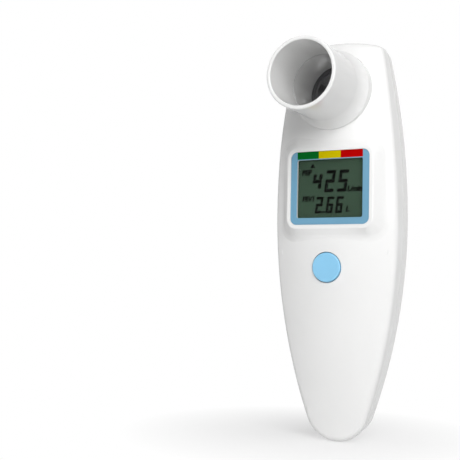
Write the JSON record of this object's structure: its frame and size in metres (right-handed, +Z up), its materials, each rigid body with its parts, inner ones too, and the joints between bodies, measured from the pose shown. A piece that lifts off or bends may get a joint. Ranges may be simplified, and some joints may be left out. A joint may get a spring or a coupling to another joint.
{
  "type": "electronic peak flow meter",
  "caption": "Hand-held electronic peak flow meter: tapering body, raised framed display with colour zones, round button and a flared plug-in mouthpiece leading to a turbine inside.",
  "frame": {"origin": "middle of the hand grip, 41.7 mm above the rounded tip, on the plane where the front and rear covers meet", "axes": "+Z up along the body to the mouthpiece end, -Y the way the display and the mouthpiece face, +X to the right of a person who reads the display"},
  "size_m": [0.0532, 0.0579, 0.1627],
  "materials": {
    "white_shell": "glossy moulded ABS",
    "seal_rubber": "soft silicone",
    "airway_plastic": "satin moulded",
    "bearing_brass": "turned",
    "steel": "nickel plated",
    "rotor_black": "satin moulded",
    "sensor_dark": "clear dark epoxy",
    "frame_blue": "satin moulded",
    "zone_green": "printed inlay",
    "zone_yellow": "printed inlay",
    "zone_red": "printed inlay",
    "clear_window": "clear hard-coated acrylic",
    "display_glass": "grey-green reflective liquid crystal",
    "holder_plastic": "matte moulded",
    "strip_rubber": "conductive silicone",
    "board_laminate": "green solder mask",
    "chip_black": "moulded",
    "capacitor_can": "sleeved can",
    "button_blue": "satin moulded",
    "cell_wrap": "printed sleeve"
  },
  "bodies": {
    "housing": {"battery_left": "cell_wrap", "battery_link": "steel", "battery_minus_contact": "steel", "battery_plus_contact": "steel", "battery_right": "cell_wrap", "board_screw_high_left": "steel", "board_screw_high_right": "steel", "board_screw_low_left": "steel", "board_screw_low_right": "steel", "buzzer": "chip_black", "capacitor": "capacitor_can", "circuit_board": "board_laminate", "contact_strip_lower": "strip_rubber", "contact_strip_upper": "strip_rubber", "crystal": "steel", "display_frame": "frame_blue", "display_window": "clear_window", "flow_tube": "airway_plastic", "front_bearing": "bearing_brass", "front_cover": "white_shell", "green_zone": "zone_green", "housing_screw_low_left": "steel", "housing_screw_low_right": "steel", "housing_screw_tip": "steel", "housing_screw_top_left": "steel", "housing_screw_top_right": "steel", "infrared_detector": "sensor_dark", "infrared_emitter": "sensor_dark", "key_switch": "holder_plastic", "lcd_glass": "display_glass", "lcd_holder": "holder_plastic", "outlet_grille": "airway_plastic", "processor_chip": "chip_black", "rear_bearing": "bearing_brass", "rear_cover": "white_shell", "red_zone": "zone_red", "spring_lower": "steel", "spring_upper": "steel", "swirl_vanes": "airway_plastic", "yellow_zone": "zone_yellow"},
    "mouthpiece": {"mouthpiece": "white_shell", "mouthpiece_seal": "seal_rubber"},
    "button": {"power_button": "button_blue", "switch_plunger": "chip_black"},
    "rotor": {"rotor_axle": "steel", "rotor_blade": "rotor_black"},
    "battery_door": {"battery_cover": "white_shell"}
  },
  "joints": [
    {"name": "mouthpiece_pull", "type": "slide", "parent": "housing", "child": "mouthpiece", "axis": [0, -1, 0], "range_m": [0, 0.02]},
    {"name": "button_press", "type": "slide", "parent": "housing", "child": "button", "axis": [0, 1, 0], "range_m": [0, 0.0004], "stiffness_N_per_m": 3000, "springref_m": -0.0002},
    {"name": "rotor_spin", "type": "hinge", "parent": "housing", "child": "rotor", "pos_m": [0, 0.0042, 0.0998], "axis": [0, 1, 0], "continuous": true},
    {"name": "battery_cover_slide", "type": "slide", "parent": "housing", "child": "battery_door", "axis": [0, 0, -1], "range_m": [0, 0.008]}
  ]
}
